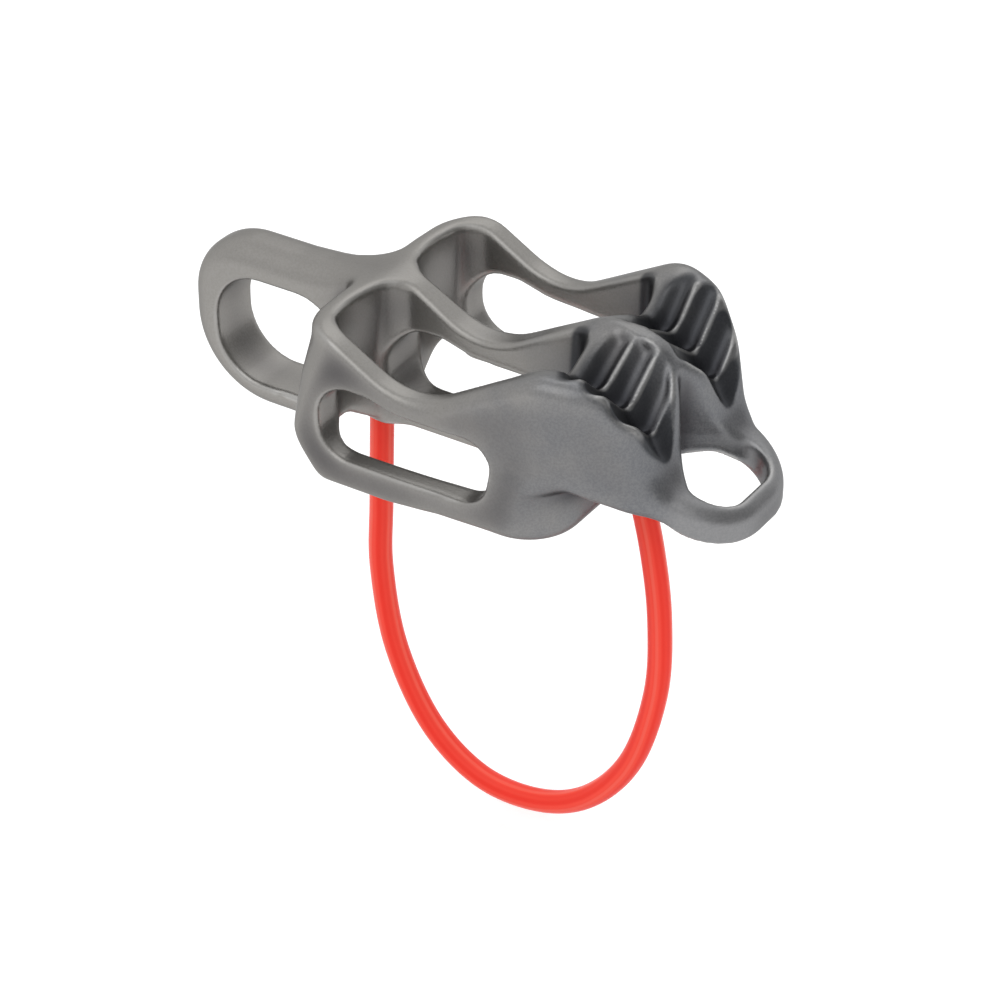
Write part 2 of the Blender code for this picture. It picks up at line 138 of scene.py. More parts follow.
class Finish:
    # The nodes of a material or of the world, under construction
    def __init__(self, owner):
        owner.use_nodes = True
        self.owner = owner
        self.tree = owner.node_tree
        self.shader = self.tree.nodes.get("Principled BSDF") or self.tree.nodes["Background"]

    def node(self, kind, settings=None, inputs=None):
        made = self.tree.nodes.new(kind)
        for key, value in (settings or {}).items():
            setattr(made, key, value)
        for key, value in (inputs or {}).items():
            self.feed(made.inputs[key], value)
        return {socket.name: Signal(self, socket) for socket in made.outputs if socket.enabled}

    def feed(self, socket, value):
        if isinstance(value, Signal):
            self.tree.links.new(value.socket, socket)
        else:
            socket.default_value = value

    def shape(self, **values):
        # Sets the shader's own sockets; an underscore stands for a space.
        for key, value in values.items():
            self.feed(self.shader.inputs[key.replace("_", " ")], value)

    def noise(self, place, grain, detail=2.0, roughness=0.5):
        # grain is the size of the pattern in metres
        inputs = {"Vector": place, "Scale": 1 / grain, "Detail": detail, "Roughness": roughness}
        return self.node("ShaderNodeTexNoise", {}, inputs)["Fac"]

    def mix(self, share, first, second):
        inputs = {"Factor": share, "A": first, "B": second}
        return self.node("ShaderNodeMix", {"data_type": "RGBA"}, inputs)["Result"]

    def place(self):
        return self.node("ShaderNodeTexCoord")["Object"]

    def attribute(self, name):
        return self.node("ShaderNodeAttribute", {"attribute_name": name})["Fac"]

    def bump(self, height, distance):
        inputs = {"Height": height, "Distance": distance, "Strength": 1.0}
        return self.node("ShaderNodeBump", {}, inputs)["Normal"]


def newFinish(name):
    return Finish(bpy.data.materials.new(name))


# Distance fields in millimetres: negative inside, and the same arrays for every shape


def roundedOutline(corners, arcStep=math.radians(6)):
    # Each corner (x, y, radius) becomes an arc that meets both its edges square to its radii.
    places = np.array([corner[:2] for corner in corners], float)
    before = np.roll(places, 1, axis=0) - places
    after = np.roll(places, -1, axis=0) - places
    lengths = np.hypot(*after.T)
    toBefore = before / np.hypot(*before.T)[:, None]
    toAfter = after / lengths[:, None]
    turns = math.pi - np.arccos(np.clip((toBefore * toAfter).sum(1), -1, 1))
    reaches = np.array([corner[2] for corner in corners]) * np.tan(turns / 2)
    points = []
    for i, place in enumerate(places):
        if reaches[i] <= 0:
            points.append(place)
            continue
        # Two arcs that want more than the edge between them share nearly all of it.
        shareBefore = lengths[i - 1] / (reaches[i] + reaches[i - 1])
        shareAfter = lengths[i] / (reaches[i] + reaches[(i + 1) % len(places)])
        reach = reaches[i] * min(1.0, 0.999 * min(shareBefore, shareAfter))
        radius = reach / math.tan(turns[i] / 2)
        inward = toBefore[i] + toAfter[i]
        centre = place + inward / np.hypot(*inward) * radius / math.cos(turns[i] / 2)
        start = place + toBefore[i] * reach - centre
        side = 1 if toBefore[i][0] * toAfter[i][1] - toBefore[i][1] * toAfter[i][0] < 0 else -1
        angles = side * turns[i] * np.linspace(0, 1, max(2, round(turns[i] / arcStep) + 1))
        arc = np.stack([
            start[0] * np.cos(angles) - start[1] * np.sin(angles),
            start[0] * np.sin(angles) + start[1] * np.cos(angles),
        ], axis=1)
        points.extend(centre + arc)
    return np.array(points)


def outlineField(corners, u, v):
    # Distance to the nearest side of a closed outline, made negative where a ray to the right
    # crosses the outline an odd number of times.
    outline = roundedOutline(corners)
    u, v = np.broadcast_arrays(u, v)
    points = np.stack([u.ravel(), v.ravel()], axis=1)[:, None, :]
    ends = np.roll(outline, -1, axis=0)
    sides = ends - outline
    share = ((points - outline) * sides).sum(2) / (sides**2).sum(1)
    nearest = points - outline - np.clip(share, 0, 1)[:, :, None] * sides
    distance = np.sqrt((nearest**2).sum(2).min(1))
    above = outline[:, 1] > points[:, :, 1]
    crosses = above != (ends[:, 1] > points[:, :, 1])
    climb = np.where(sides[:, 1] == 0, 1, sides[:, 1])
    right = points[:, :, 0] < outline[:, 0] + (points[:, :, 1] - outline[:, 1]) * sides[:, 0] / climb
    inside = (crosses & right).sum(1) % 2 == 1
    return np.where(inside, -distance, distance).reshape(u.shape)


def cornerAt(along, across, size):
    # A corner of an outline from a place near it: size is (past it, beyond it, radius)
    return along + size[0], across + size[1], size[2]


def mirroredOutline(corners):
    # The corners of one half, then their mirror images in turn
    return corners + [(x, -y, radius) for x, y, radius in reversed(corners)]


def slab(coordinate, low, high):
    # Distance past the nearer of two limits
    return np.abs(coordinate - (low + high) / 2) - (high - low) / 2


def ramp(value, start, length):
    # 0 up to the start, then 1 a length on; a negative length runs the other way
    return np.clip((value - start) / length, 0, 1)


def meet(a, b, rim=0.0):
    # What is in both, with the edge between them rounded to a radius
    first = np.maximum(a + rim, 0)
    second = np.maximum(b + rim, 0)
    return np.minimum(np.maximum(a + rim, b + rim), 0) + np.hypot(first, second) - rim


def join(a, b, fillet=0.0):
    # What is in either, with the corner between them filled to a radius
    return -meet(-a, -b, fillet)


def cut(a, b, rim=0.0):
    # What is in the first and not in the second
    return meet(a, -b, rim)


def bevelCut(a, b, width):
    # The same, with a flat of a given width on the edge
    bevel = (a - b) * math.sqrt(0.5) + width / 2
    return np.maximum(np.maximum(a, -b), bevel)


def easedBox(u, v, middle, half, corner):
    # A rounded rectangle from its middle and its half sizes
    overU = np.abs(u - middle[0]) - half[0] + corner
    overV = np.abs(v - middle[1]) - half[1] + corner
    outside = np.hypot(np.maximum(overU, 0), np.maximum(overV, 0))
    return np.minimum(np.maximum(overU, overV), 0) + outside - corner


def rodField(x, y, z, centre, direction, radius, halfLength):
    # A cylinder: distance from its line, met with distance along it
    along = (x - centre[0]) * direction[0] + (z - centre[1]) * direction[1]
    across = (x - centre[0]) * direction[1] - (z - centre[1]) * direction[0]
    return meet(np.hypot(across, y) - radius, np.abs(along) - halfLength)


# Keeper loop: its line

loop = {
    "diameter": 3.0 * mm,
    "wall": 0.5 * mm,
    "rim": 0.25 * mm,
    "rimRings": 5,
    "pastAxis": 1.1 * mm,  # how far the sleeve goes on past the line's ends
    "rear": (12.6 * mm, -7.8 * mm),  # where it leaves the body, as (x, z)
    "front": (48.4 * mm, -4.2 * mm),
    "rearRise": 4.0 * mm,  # how far above its exit the line aims at the rear
    "samples": 16,  # on each stretch of the line
    "sides": 32,
    "route": [
        (12.2 * mm, -20.7 * mm),
        (12.0 * mm, -30.5 * mm),
        (14.0 * mm, -42.0 * mm),
        (19.2 * mm, -52.0 * mm),
        (26.8 * mm, -57.4 * mm),
        (35.6 * mm, -57.5 * mm),
        (43.0 * mm, -53.6 * mm),
        (48.8 * mm, -45.6 * mm),
        (51.9 * mm, -34.2 * mm),
        (52.1 * mm, -23.6 * mm),
        (50.8 * mm, -14.0 * mm),
    ],
}


def loopLine():
    # A smooth line through the route: each stretch is a cubic that leaves and arrives along
    # the chord between the places on either side of it.
    rear, front = np.array(loop["rear"]), np.array(loop["front"])
    knots = np.vstack([rear + (0, loop["rearRise"]), rear, loop["route"], front])
    knots = np.vstack([knots, 2 * knots[-1] - knots[-2]])
    a, b, c, d = knots[:-3, None], knots[1:-2, None], knots[2:-1, None], knots[3:, None]
    t = np.linspace(0, 1, loop["samples"], endpoint=False)[None, :, None]
    line = (2 * b + (c - a) * t + (2 * a - 5 * b + 4 * c - d) * t**2 + (3 * b - a - 3 * c + d) * t**3) / 2
    line = np.vstack([line.reshape(-1, 2), front])
    firstWay = (line[0] - line[1]) / np.hypot(*(line[0] - line[1]))
    lastWay = (line[-1] - line[-2]) / np.hypot(*(line[-1] - line[-2]))
    line = np.vstack([line[0] + firstWay * loop["pastAxis"], line, line[-1] + lastWay * loop["pastAxis"]])
    return np.stack([line[:, 0], np.zeros(len(line)), line[:, 1]], axis=1)


# Forged body: sizes in millimetres. A corner is (past its place, beyond its height or half
# width, radius), and a ramp is (start, length).

body = {
    "cell": 0.322,  # spacing of the samples that the surface is drawn through
    "softness": 1,  # rounds of blurring, which soften every edge as blasting does
    "gridLow": (-14.6, -19.0, -12.0),
    "gridHigh": (66.9, 19.0, 16.8),
    # guide eye and the ring round it
    "eyeHalfLength": 9.2,
    "eyeHalfHeight": 7.2,
    "eyeCorner": 6.6,
    "eyeRim": 0.6,
    "ringWall": 4.2,
    "ringTopWall": 4.2,
    "ringBottomWall": 3.5,
    "ringWidth": 7.6,
    # side outline, from the ring's top to its underside
    "ringTop": (0.0, 0.0, 8.4),
    "armTop": (4.0, 0.0, 30.0),
    "wallPeak": (0.6, 13.1, 8.0),
    "valley": (12.1, 6.5, 9.8),
    "hump": (1.2, 15.5, 7.0),
    "humpFront": (8.0, 14.6, 4.5),
    "plateFall": (-2.4, 10.2, 9.0),
    "tailTip": (0.4, -1.0, 0.5),
    "tailFoot": (-3.0, -1.6, 5.0),
    "bellyRise": (2.0, 2.4, 4.0),
    "baseHeight": 6.8,  # below the eye's centre
    "baseFront": (-3.0, 0.0, 6.0),
    "baseRear": (2.0, 0.0, 6.0),
    "armUnder": (5.0, 0.0, 9.0),
    "ringUnder": (0.0, 0.0, 11.0),
    # plan outline
    "planClear": 6.0,  # how far it passes the ring, which narrows it
    "planBend": 60.0,  # radius, at the valley
    "planHump": (4.0, -0.9, 14.0),
    "planTail": (0.5, 0.3, 1.0),
    # end wall
    "armFlare": 2.2,  # fillet from the arm's sides to the wall
    "wallFoot": 14.8,  # its rear face at the base, at its bend and at its top
    "wallBend": 11.2,
    "wallTop": 11.8,
    "wallBendHeight": -2.4,
    "wallTopHeight": 12.2,
    "wallBendRound": 2.0,  # rounding of the bend, squared
    "shoulder": 0.5,  # how far forward it stands high up and far out
    "shoulderAcross": (8.0, 7.0),
    "shoulderUp": (6.0, 5.0),
    "uprightHeights": (-1.0, 10.0),  # the upright corners beside it, low down and at the top
    "uprightRadii": (2.2, 6.8),
    "rimPlaces": (8.0, 12.8, 16.5, 25.0, 32.0),  # rounding of the edges, from ring to plates
    "rims": (3.2, 1.1, 0.8, 0.8, 1.9),
    # rope slots, with the web between them and a plate outside each
    "slotStart": 16.2,
    "slotLength": 27.0,
    "slotWidth": 12.25,
    "slotCorner": 2.7,
    "slotBow": 1.5,  # how far its rear end bows back between the corners
    "slotBowFade": 8.0,
    "slotNarrowing": 1.4,
    "narrowingRound": 4.0,  # how gently it starts, at the valley
    "slotBevel": 0.6,
    "web": 4.9,
    "webTop": 2.6,
    "draftHeight": 2.0,
    "plate": 3.1,
    # windows through the plates and the web
    "windowStart": -0.3,  # past the slots' start, and the corners past that
    "window": [
        (0.0, 6.4, 4.6),
        (6.8, 6.4, 4.0),
        (11.0, 5.3, 8.0),
        (24.1, 5.0, 3.6),
        (22.3, -3.1, 3.6),
        (0.0, -3.1, 4.2),
    ],
    "windowRim": 0.6,
    # the space under the end wall
    "archClear": 0.05,
    "archOpen": (0.0, -30.0, 0.0),
    "archInner": (0.0, -6.0, 1.0),
    "archCrown": (0.0, -2.4, 5.0),
    "archOuter": (0.0, -1.2, 1.5),
    "archLength": 2.0,
    "archRim": 0.8,
    # foot below the slots' front ends
    "footRear": (-12.0, -0.1, 2.6),
    "footFront": (4.3, -0.1, 7.0),
    "footTop": 3.2,
    "footRim": 2.4,
    "footFillet": 2.6,
    "footFilletLeast": 0.1,  # its share where the foot meets the windows
    "footFilletAlong": (40.0, 45.0),
    "footFilletUp": (-2.0, 1.0),
    # V grooves and their ribs
    "grooveHeight": 10.8,
    "grooveLength": 14.2,
    "grooveFall": 0.87,
    "grooveBend": 5.6,
    "grooveBendRadius": 10.0,
    "grooveTurn": 0.13,  # how far the bottoms draw in, for each millimetre along
    "grooveRimPlaces": (2.0, 4.5),  # rounding of their edges, from the slots on
    "grooveRims": (1.8, 0.5),
    "runOutLift": 0.2,  # above the release ring, where their bottoms run out
    "runOutRound": 1.0,
    "webFlank": 0.53,  # slopes of the flanks, and how the inner one steepens
    "webFlankGain": 0.013,
    "forkFlankGain": 0.04,
    "forkFlankFrom": 5.0,
    "plateFlank": 0.95,
    "webScale": 1.3,  # what brings each flank's height back to a distance
    "plateScale": 1.5,
    "valleyRound": 1.6,
    "crestRound": 0.6,  # rounds the web's top, where the two inner flanks meet
    "crestShift": 0.1,
    "ridgeHalfWidth": 1.3,  # flat left along the web's top
    "ridgeTaper": 0.07,  # what it narrows by towards the fork
    "ridgeTaperFrom": 4.0,
    "ridgeFillet": 0.6,
    "ribPitch": 3.05,
    "ribDepth": 0.75,
    "ribPoint": 0.006,  # how blunt the crests are
    "firstRib": 2.2,
    # release ring, and the fork that carries it
    "noseHalfWidth": 10.3,
    "noseRoot": (6.0, 1.4, 4.0),
    "noseSide": (-1.0, 0.0, 12.0),
    "noseTip": (8.3, -0.5, 8.8),
    "noseThicknesses": (2.9, 4.9),  # of the fork and of the ring
    "noseThicknessPlaces": (-5.5, 2.5),
    "noseTop": 1.5,
    "noseDroop": 0.38,
    "noseRim": 1.6,
    "noseFillet": 2.4,
    "forkLand": 1.4,  # flat left beside the hole
    "holeHalfWidth": 6.4,
    "holeApex": (9.5, 0.0, 1.4),
    "holeSide": (1.6, 0.1, 3.0),
    "holeTip": (6.3, 0.0, 6.3),
    "holeLean": 0.12,
    "holeLeanHeight": -1.0,
    "holeLeanLimits": (-4.0, 12.0),
    "holeLeanFade": 8.0,
    "holeFrom": 4.0,  # behind this it isn't worked out, and counts as far away
    "holeFar": 4.0,
    "holeDraft": 0.2,  # it narrows downwards
    "holeDraftDepth": 5.0,
    "holeRim": 0.55,
    # the hollow under the fork
    "hollowRoof": -0.2,
    "hollowCrown": 0.02,
    "hollowFall": 0.6,
    "hollowFallFrom": -1.0,
    "hollowLength": 7.4,
    "hollowScale": 1.1,  # brings its height back to a distance
    "hollowRound": 1.0,
    "hollowRim": 1.0,
    # boss round the loop's front end, and both pockets and bores
    "bossPast": 5.0,
    "bossHalfSize": (4.0, 3.4),
    "bossCorner": 2.2,
    "bossHeights": (-3.2, 3.8),
    "bossRim": 0.9,
    "bossFillet": 1.2,
    "pocketRadius": 2.26,
    "pocketWidth": 3.8,
    "boreRadius": 1.8,
    "boreDepth": 5.96,
    "boreRim": 0.3,
}

slotEnd = body["slotStart"] + body["slotLength"]
tail = slotEnd + body["grooveLength"]
halfWidth = body["web"] / 2 + body["slotWidth"] + body["plate"]


def forgingField(x, y, z):
    # Side outline met with plan outline: guide ring, arm, end wall, plates and groove block in
    # one. In plan the arm flares into the end wall, whose rear face bends and leans.
    b = body
    start, base = b["slotStart"], -b["baseHeight"]
    left = -b["eyeHalfLength"] - b["ringWall"]
    top = b["eyeHalfHeight"] + b["ringTopWall"]
    bottom = -b["eyeHalfHeight"] - b["ringBottomWall"]
    side = [
        cornerAt(left, top, b["ringTop"]),
        cornerAt(0.0, top, b["armTop"]),
        cornerAt(start, 0.0, b["wallPeak"]),
        cornerAt(start, 0.0, b["valley"]),
        cornerAt(slotEnd, 0.0, b["hump"]),
        cornerAt(slotEnd, 0.0, b["humpFront"]),
        cornerAt(tail, 0.0, b["plateFall"]),
        cornerAt(tail, 0.0, b["tailTip"]),
        cornerAt(tail, 0.0, b["tailFoot"]),
        cornerAt(slotEnd, 0.0, b["bellyRise"]),
        cornerAt(slotEnd, base, b["baseFront"]),
        cornerAt(b["eyeHalfLength"], base, b["baseRear"]),
        cornerAt(0.0, bottom, b["armUnder"]),
        cornerAt(left, bottom, b["ringUnder"]),
    ]
    plan = mirroredOutline([
        (left - b["planClear"], halfWidth, 0),
        (start + b["valley"][0], halfWidth, b["planBend"]),
        cornerAt(slotEnd, halfWidth, b["planHump"]),
        cornerAt(tail, b["noseHalfWidth"], b["planTail"]),
    ])
    above = z - b["wallBendHeight"]
    lean = (b["wallTop"] - b["wallBend"]) / (b["wallTopHeight"] - b["wallBendHeight"])
    fold = (b["wallFoot"] - b["wallBend"]) / (b["baseHeight"] + b["wallBendHeight"]) + lean
    wall = b["wallBend"] + lean * above + fold * (np.sqrt(above**2 + b["wallBendRound"]) - above) / 2
    wall = wall + b["shoulder"] * ramp(np.abs(y), *b["shoulderAcross"]) * ramp(z, *b["shoulderUp"])
    rear = join(np.abs(y) - b["ringWidth"] / 2, wall - x, b["armFlare"])
    upright = np.interp(z, b["uprightHeights"], b["uprightRadii"])
    rim = np.interp(x, b["rimPlaces"], b["rims"])
    return meet(outlineField(side, x, z), meet(outlineField(plan, x, y), rear, upright), rim)


def footField(x, y, z):
    # A rounded block across the body, down to its base
    b = body
    plan = mirroredOutline([cornerAt(slotEnd, halfWidth, b[name]) for name in ("footRear", "footFront")])
    return meet(outlineField(plan, x, y), slab(z, -b["baseHeight"], b["footTop"]), b["footRim"])


def bossField(x, y, z):
    # Under the web's fork, round the loop's front end
    b = body
    plan = easedBox(x, y, (slotEnd + b["bossPast"], 0.0), b["bossHalfSize"], b["bossCorner"])
    return meet(plan, slab(z, *b["bossHeights"]), b["bossRim"])


def eyeField(x, z):
    # The guide eye, a rounded rectangle from the side
    half = (body["eyeHalfLength"], body["eyeHalfHeight"])
    return easedBox(x, z, (0.0, 0.0), half, body["eyeCorner"])


def noseField(x, y, z):
    # Release ring: a flat bail sheared so that it droops towards its tip
    b = body
    wide = b["noseHalfWidth"]
    plan = mirroredOutline([
        cornerAt(slotEnd, wide, b["noseRoot"]),
        cornerAt(tail, wide, b["noseSide"]),
        cornerAt(tail, wide, b["noseTip"]),
    ])
    level = z + b["noseDroop"] * (x - tail)
    places = [tail + past for past in b["noseThicknessPlaces"]]
    thickness = np.interp(x, places, b["noseThicknesses"])
    lift = slab(level, b["noseTop"] - thickness, b["noseTop"]) / math.hypot(1, b["noseDroop"])
    return meet(outlineField(plan, x, y), lift, b["noseRim"])


def slotField(x, y, z):
    # One rope slot for each side: its web face leans in above the windows, and its outer face
    # closes in towards the grooves.
    b = body
    start, valley = b["slotStart"], b["valley"][0]
    draft = (b["web"] - b["webTop"]) / 2 / (b["hump"][1] - b["draftHeight"])
    inner = b["web"] / 2 - draft * np.maximum(z - b["draftHeight"], 0)
    past = x - start - valley
    closing = b["slotNarrowing"] / (b["slotLength"] - valley)
    outer = b["web"] / 2 + b["slotWidth"] - closing * (past + np.hypot(past, b["narrowingRound"])) / 2
    middle = (start + slotEnd) / 2
    bow = 1 - (2 * np.abs(y) - b["web"] - b["slotWidth"]) ** 2 / b["slotWidth"] ** 2
    x = x + b["slotBow"] * np.clip(bow, 0, 1) * ramp(x, middle, -b["slotBowFade"])
    half = (middle - start, (outer - inner) / 2)
    return easedBox(x, np.abs(y), (middle, (inner + outer) / 2), half, b["slotCorner"])


def windowField(x, z):
    # One outline from the side, through the plates and the web alike
    start = body["slotStart"] + body["windowStart"]
    return outlineField([cornerAt(start, 0.0, size) for size in body["window"]], x, z)


def grooveField(hole, x, y, z):
    # What stays below a V groove on each side. Its bottom runs level, bends down, and carries
    # ribs that run straight up both flanks: each rib is the sharp part of a rectified sine.
    b = body
    along = x - slotEnd
    reach = b["grooveBendRadius"] * math.tan(math.atan(b["grooveFall"]) / 2)
    past = along - b["grooveBend"]
    bent = b["grooveFall"] * (past + reach) ** 2 / (4 * reach)
    drop = np.where(past <= -reach, 0, np.where(past >= reach, b["grooveFall"] * past, bent))
    phase = (along - b["firstRib"]) / b["ribPitch"]
    wave = np.sqrt(np.sin(math.pi * phase) ** 2 + b["ribPoint"])
    ribs = b["ribDepth"] * (1 - 2 * np.where(phase > 0, wave, b["ribPoint"] ** 0.5))
    # It runs out above the release ring, whose top droops.
    runOut = b["noseTop"] + b["runOutLift"] - b["noseDroop"] * (along - b["grooveLength"])
    line = b["grooveHeight"] - drop + ribs
    line = (line + runOut + np.sqrt((line - runOut) ** 2 + b["runOutRound"])) / 2
    middle = (b["web"] + b["slotWidth"]) / 2
    side = np.sqrt(y * y + b["crestRound"]) - b["crestShift"] - middle + b["grooveTurn"] * along
    slope = b["webFlank"] + b["webFlankGain"] * along
    slope = slope + b["forkFlankGain"] * np.maximum(along - b["forkFlankFrom"], 0)
    web = (z - line + slope * side) / b["webScale"]
    plate = (z - line - b["plateFlank"] * side) / b["plateScale"]
    # The web's ridge and the fork beside the hole stay flat between the two grooves.
    ridge = np.abs(y) - b["ridgeHalfWidth"] + b["ridgeTaper"] * np.maximum(along - b["ridgeTaperFrom"], 0)
    ridge = np.minimum(ridge, hole - b["forkLand"])
    return join(join(web, plate, b["valleyRound"]), ridge, b["ridgeFillet"])


def holeField(x, y, z):
    # The release ring's hole from above, a teardrop; its narrow end leans back downwards.
    b = body
    wide = b["holeHalfWidth"]
    sides = mirroredOutline([cornerAt(tail, wide, b[name]) for name in ("holeSide", "holeTip")])
    corners = [cornerAt(slotEnd, 0.0, b["holeApex"]), *sides]
    lean = b["holeLean"] * np.clip(z - b["holeLeanHeight"], *b["holeLeanLimits"])
    lean = lean * ramp(x, tail, -b["holeLeanFade"])
    near = x.ravel() > slotEnd + b["holeFrom"]
    field = np.full((x.size, y.size, z.size), b["holeFar"])
    layers = [
        outlineField(corners, x[near, :, 0] - lean[near, 0, i, None], y[:, :, 0])
        for i in range(z.size)
    ]
    field[near] = np.stack(layers, axis=2)
    depth = b["noseTop"] - z - b["noseDroop"] * (x - tail)
    return field + b["holeDraft"] * np.clip(depth, 0, b["holeDraftDepth"])


def underForkField(x, y, z):
    # The hollow under the fork: deepest in the middle, and falling away towards the ring
    b = body
    falling = np.maximum(x - tail - b["hollowFallFrom"], 0)
    roof = b["hollowRoof"] - b["hollowCrown"] * y * y - b["hollowFall"] * falling
    return meet((z - roof) / b["hollowScale"], tail - b["hollowLength"] - x, b["hollowRound"])


def archField(y, z):
    # The space under the end wall between the web and each plate
    b = body
    inner = b["ringWidth"] / 2 + b["archClear"]
    outer = b["web"] / 2 + b["slotWidth"]
    corners = [
        cornerAt(inner, 0.0, b["archOpen"]),
        cornerAt(inner, 0.0, b["archInner"]),
        cornerAt((inner + outer) / 2, 0.0, b["archCrown"]),
        cornerAt(outer, 0.0, b["archOuter"]),
        cornerAt(outer, 0.0, b["archOpen"]),
    ]
    return outlineField(corners, np.abs(y), z)


def forgedField(forging, slots, grooves, hole, x, y, z):
    # The whole forging: blocks joined and openings cut, each with its own rounding
    b = body
    least = (b["footFilletLeast"], 1.0)
    spread = np.interp(x, b["footFilletAlong"], least) * np.interp(z, b["footFilletUp"], least)
    solid = join(forging, footField(x, y, z), b["footFillet"] * spread)
    arch = meet(archField(y, z), slab(x, 0, b["slotStart"] + b["archLength"]))
    solid = cut(solid, arch, b["archRim"])
    solid = join(solid, noseField(x, y, z), b["noseFillet"])
    solid = cut(solid, np.broadcast_to(eyeField(x, z), solid.shape), b["eyeRim"])
    solid = cut(solid, np.broadcast_to(windowField(x, z), solid.shape), b["windowRim"])
    solid = bevelCut(solid, slots, b["slotBevel"])
    places = [slotEnd + past for past in b["grooveRimPlaces"]]
    solid = meet(solid, grooves, np.interp(x, places, b["grooveRims"]))
    solid = cut(solid, underForkField(x, y, z), b["hollowRim"])
    solid = cut(solid, hole, b["holeRim"])
    solid = join(solid, bossField(x, y, z), b["bossFillet"])
    # At each end of the loop, a pocket across its swing and a bore along its line
    axis = np.subtract(loop["front"], loop["rear"])
    axis = axis / math.hypot(*axis)
    line = loopLine() / mm
    for place, inward in ((loop["rear"], line[0] - line[1]), (loop["front"], line[-1] - line[-2])):
        place = np.array(place) / mm
        inward = inward[[0, 2]] / math.hypot(*inward)
        pocket = rodField(x, y, z, place, axis, b["pocketRadius"], b["pocketWidth"] / 2)
        middle = place + inward * b["boreDepth"] / 2
        bore = rodField(x, y, z, middle, inward, b["boreRadius"], b["boreDepth"] / 2)
        solid = cut(solid, np.minimum(pocket, bore), b["boreRim"])
    return solid


# A surface from a grid of distances


def softened(grid, rounds):
    # Along each axis in turn, a value becomes half itself and a quarter each neighbour.
    for axis in (0, 1, 2) * rounds:
        padded = np.concatenate([np.take(grid, [0], axis), grid, np.take(grid, [-1], axis)], axis)
        before = np.take(padded, range(grid.shape[axis]), axis)
        after = np.take(padded, range(2, grid.shape[axis] + 2), axis)
        grid = grid / 2 + (before + after) / 4
    return grid


def averaged(grid, reach):
    # Mean over a box that reaches a number of samples to each side, by running sums
    for axis in range(3):
        width = [(0, 0)] * 3
        width[axis] = (reach + 1, reach)
        sums = np.cumsum(np.pad(grid, width, mode="edge"), axis=axis)
        count = grid.shape[axis]
        later = np.take(sums, range(2 * reach + 1, 2 * reach + 1 + count), axis)
        grid = (later - np.take(sums, range(count), axis)) / (2 * reach + 1)
    return grid


def sampled(grid, cells):
    # Value of a grid between its samples, by weights of the eight around each place, which is
    # kept just inside the last samples
    cells = np.clip(cells, 0, np.array(grid.shape) - 1.001)
    low = cells.astype(int)
    share = cells - low
    total = 0
    for corner in np.ndindex(2, 2, 2):
        weight = np.prod(np.where(corner, share, 1 - share), axis=1)
        total = total + weight * grid[tuple((low + corner).T)]
    return total


def surfaceThrough(grid):
    # One point in each cell that the surface crosses, at the mean of its edge crossings, and
    # one quad round each grid edge that it crosses. Cells count from the grid's first sample.
    inside = grid < 0
    number = np.full(np.array(grid.shape) - 1, -1, np.int64)
    crossed = np.zeros(number.shape, bool)
    for corner in np.ndindex(2, 2, 2):
        window = tuple(slice(c, c + n) for c, n in zip(corner, number.shape))
        crossed |= inside[window] != inside[:-1, :-1, :-1]
    cells = np.argwhere(crossed)
    number[crossed] = np.arange(len(cells))
    total = np.zeros((len(cells), 3))
    count = np.zeros(len(cells))
    steps = np.eye(3, dtype=int)
    quads = []
    for axis, step in enumerate(steps):
        second, third = steps[(axis + 1) % 3], steps[(axis + 2) % 3]
        starts = tuple(slice(0, n - s) for n, s in zip(grid.shape, step))
        ends = tuple(slice(s, n) for n, s in zip(grid.shape, step))
        edges = np.argwhere(inside[starts] != inside[ends])
        near = grid[tuple(edges.T)]
        far = grid[tuple((edges + step).T)]
        crossing = edges + (near / (near - far))[:, None] * step
        around = [edges, edges - second, edges - second - third, edges - third]
        indices = np.stack([number[tuple(cell.T)] for cell in around], axis=1)
        for column in indices.T:
            np.add.at(total, column, crossing)
            np.add.at(count, column, 1)
        quads.append(np.where((near < 0)[:, None], indices, indices[:, ::-1]))
    return total / count[:, None], np.concatenate(quads)


def settled(grid, slopes, cells, cell, steps=2, leastSlope=0.05):
    # A few steps along the slope bring each point onto the surface: each is the value there
    # over the slope squared. Also gives the outward way at each point.
    for _ in range(steps):
        value = sampled(grid, cells)
        slope = np.stack([sampled(part, cells) for part in slopes], axis=1)
        cells = cells - (value / np.maximum((slope**2).sum(1), leastSlope))[:, None] * slope / cell
    return cells, slope / np.linalg.norm(slope, axis=1)[:, None]


# Forged body: where painted shade darkens its finish, and where painted light lightens it

shading = {
    "height": 1.8,  # where the metal round a place is felt, in millimetres above its surface
    "reach": 6,  # samples to each side that are felt
    "near": 0.6,  # how close to the grooves' own faces, in millimetres
    "facing": (0.3, 0.5),  # how squarely a place faces as the grooves do
    "start": (0.6, 1.5),  # past the slots' end
    "foot": (0.1, 1.2),  # above the release ring's top
    "tread": 0.65,  # how much lighter it grows from each crest to the next
    "treadPower": 1.5,
    "treadFlat": 0.5,  # for the face before the first crest
    "ribs": 3,
    "forkStart": 9.8,
    "ridge": (1.0, 0.8),  # half width that stays light, and what it gains along the fork
    "flank": (5.6, 1.3),  # width over which it darkens, and what that loses along the fork
    "flankLeast": 0.8,
    "least": 0.06,
    "slotCorner": (-3.2, 0.9),  # the slots' corners beside the grooves, fading in and out
    "slotCornerEnd": (0.2, -0.6),
    "slotCornerUp": (-1.0, 3.0),
}


